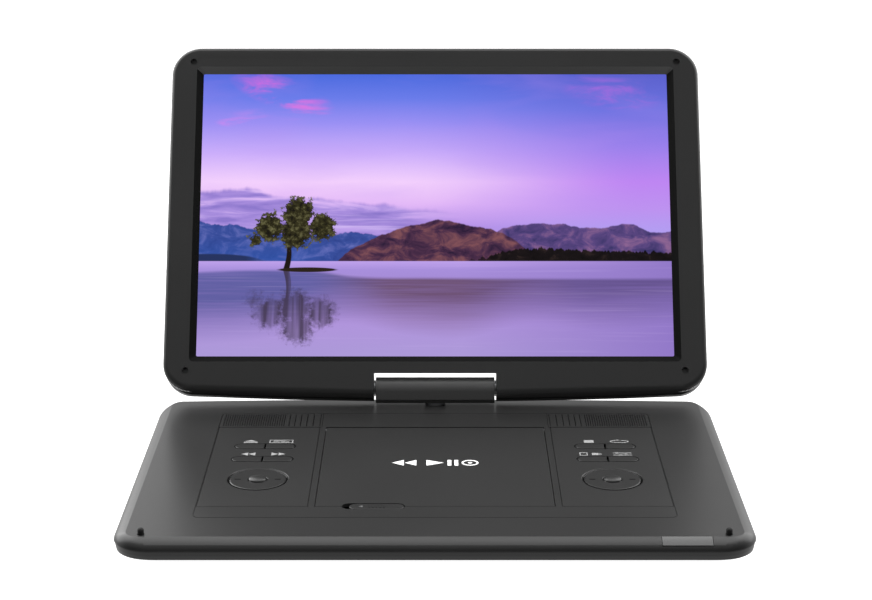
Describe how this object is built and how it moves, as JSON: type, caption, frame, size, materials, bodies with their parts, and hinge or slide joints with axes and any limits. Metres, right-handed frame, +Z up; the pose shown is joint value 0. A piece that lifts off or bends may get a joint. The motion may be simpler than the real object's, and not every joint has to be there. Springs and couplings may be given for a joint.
{
  "type": "portable dvd player",
  "caption": "Portable disc player with a wide display on a tilting and swivelling hinge, a flat base with a disc lid, speakers and button panels.",
  "frame": {"origin": "on the table under the middle of the whole open player", "axes": "+X to the user's right, +Y from the front edge towards the hinge, +Z up"},
  "size_m": [0.38, 0.3762, 0.2556],
  "materials": {
    "shell_plastic": "satin moulded",
    "panel_plastic": "fine matt moulded",
    "key_plastic": "satin moulded",
    "chassis_plastic": "matt moulded",
    "display_glass": "glossy lit display",
    "rubber": "matt",
    "steel": "plated",
    "circuit_board": "solder mask",
    "battery_wrap": "shrink film",
    "infrared_window": "smooth smoked"
  },
  "bodies": {
    "base": {"av_jack": "chassis_plastic", "base_lower_shell": "shell_plastic", "base_upper_shell": "shell_plastic", "battery_pack": "battery_wrap", "card_slot": "steel", "closing_peg_left": "rubber", "closing_peg_right": "rubber", "control_board_left": "circuit_board", "control_board_right": "circuit_board", "control_panel_left": "panel_plastic", "control_panel_right": "panel_plastic", "dc_jack": "chassis_plastic", "foot_front_left": "rubber", "foot_front_right": "rubber", "foot_rear_left": "rubber", "foot_rear_right": "rubber", "headphone_jack": "chassis_plastic", "ir_window": "infrared_window", "lid_hinge_pin_left": "steel", "lid_hinge_pin_right": "steel", "loader_chassis": "chassis_plastic", "main_board": "circuit_board", "sled_rail_left": "steel", "sled_rail_right": "steel", "speaker_grille_left": "panel_plastic", "speaker_grille_right": "panel_plastic", "speaker_left": "chassis_plastic", "speaker_right": "chassis_plastic", "spindle_motor": "steel", "usb_port": "steel"},
    "swivel": {"hinge_cover": "shell_plastic", "hinge_saddle": "chassis_plastic", "swivel_post": "steel", "swivel_nut": "steel"},
    "screen": {"screen_bezel": "shell_plastic", "screen_rear_cover": "shell_plastic", "display_panel": "display_glass", "display_board": "circuit_board", "tilt_shaft_left": "steel", "tilt_shaft_right": "steel", "hinge_bracket_left": "steel", "hinge_bracket_right": "steel"},
    "lid": {"disc_lid": "panel_plastic"},
    "slider": {"open_slider": "key_plastic"},
    "turntable": {"turntable_hub": "chassis_plastic"},
    "sled": {"laser_sled": "steel"},
    "power": {"power_switch": "key_plastic"},
    "volume": {"volume_wheel": "key_plastic"},
    "key_left_upper_left_body": {"key_left_upper_left": "key_plastic"},
    "key_left_upper_right_body": {"key_left_upper_right": "key_plastic"},
    "key_left_lower_left_body": {"key_left_lower_left": "key_plastic"},
    "key_left_lower_right_body": {"key_left_lower_right": "key_plastic"},
    "key_right_upper_left_body": {"key_right_upper_left": "key_plastic"},
    "key_right_upper_right_body": {"key_right_upper_right": "key_plastic"},
    "key_right_lower_left_body": {"key_right_lower_left": "key_plastic"},
    "key_right_lower_right_body": {"key_right_lower_right": "key_plastic"},
    "navigation_ring_left_body": {"navigation_ring_left": "key_plastic"},
    "navigation_ring_right_body": {"navigation_ring_right": "key_plastic"},
    "center_button_left_body": {"center_button_left": "key_plastic"},
    "center_button_right_body": {"center_button_right": "key_plastic"}
  },
  "joints": [
    {"name": "screen_swivel", "type": "hinge", "parent": "base", "child": "swivel", "pos_m": [0, 0.05992, 0.038], "axis": [0, 0, 1], "range_deg": [-90, 180]},
    {"name": "screen_tilt", "type": "hinge", "parent": "swivel", "child": "screen", "pos_m": [0, 0.05992, 0.038], "axis": [1, 0, 0], "range_deg": [-60, 120]},
    {"name": "lid_hinge", "type": "hinge", "parent": "base", "child": "lid", "pos_m": [0, 0.00852, 0.0253], "axis": [-1, 0, 0], "range_deg": [0, 75]},
    {"name": "open_slide", "type": "slide", "parent": "base", "child": "slider", "axis": [-1, 0, 0], "range_m": [0, 0.004], "stiffness_N_per_m": 200},
    {"name": "turntable_spin", "type": "hinge", "parent": "base", "child": "turntable", "pos_m": [0, -0.06108, 0.017], "axis": [0, 0, 1], "continuous": true},
    {"name": "sled_slide", "type": "slide", "parent": "base", "child": "sled", "axis": [0, -1, 0], "range_m": [0, 0.025]},
    {"name": "power_slide", "type": "slide", "parent": "base", "child": "power", "axis": [0, 1, 0], "range_m": [0, 0.004]},
    {"name": "volume_turn", "type": "hinge", "parent": "base", "child": "volume", "pos_m": [-0.1798, 0.01222, 0.013], "axis": [0, 0, 1], "range_deg": [0, 300]},
    {"name": "key_left_upper_left_press", "type": "slide", "parent": "base", "child": "key_left_upper_left_body", "axis": [0, 0, -1], "range_m": [0, 0.0007], "stiffness_N_per_m": 400},
    {"name": "key_left_upper_right_press", "type": "slide", "parent": "base", "child": "key_left_upper_right_body", "axis": [0, 0, -1], "range_m": [0, 0.0007], "stiffness_N_per_m": 400},
    {"name": "key_left_lower_left_press", "type": "slide", "parent": "base", "child": "key_left_lower_left_body", "axis": [0, 0, -1], "range_m": [0, 0.0007], "stiffness_N_per_m": 400},
    {"name": "key_left_lower_right_press", "type": "slide", "parent": "base", "child": "key_left_lower_right_body", "axis": [0, 0, -1], "range_m": [0, 0.0007], "stiffness_N_per_m": 400},
    {"name": "key_right_upper_left_press", "type": "slide", "parent": "base", "child": "key_right_upper_left_body", "axis": [0, 0, -1], "range_m": [0, 0.0007], "stiffness_N_per_m": 400},
    {"name": "key_right_upper_right_press", "type": "slide", "parent": "base", "child": "key_right_upper_right_body", "axis": [0, 0, -1], "range_m": [0, 0.0007], "stiffness_N_per_m": 400},
    {"name": "key_right_lower_left_press", "type": "slide", "parent": "base", "child": "key_right_lower_left_body", "axis": [0, 0, -1], "range_m": [0, 0.0007], "stiffness_N_per_m": 400},
    {"name": "key_right_lower_right_press", "type": "slide", "parent": "base", "child": "key_right_lower_right_body", "axis": [0, 0, -1], "range_m": [0, 0.0007], "stiffness_N_per_m": 400},
    {"name": "navigation_ring_left_press", "type": "slide", "parent": "base", "child": "navigation_ring_left_body", "axis": [0, 0, -1], "range_m": [0, 0.0007], "stiffness_N_per_m": 400},
    {"name": "navigation_ring_right_press", "type": "slide", "parent": "base", "child": "navigation_ring_right_body", "axis": [0, 0, -1], "range_m": [0, 0.0007], "stiffness_N_per_m": 400},
    {"name": "center_button_left_press", "type": "slide", "parent": "base", "child": "center_button_left_body", "axis": [0, 0, -1], "range_m": [0, 0.0007], "stiffness_N_per_m": 400},
    {"name": "center_button_right_press", "type": "slide", "parent": "base", "child": "center_button_right_body", "axis": [0, 0, -1], "range_m": [0, 0.0007], "stiffness_N_per_m": 400}
  ]
}
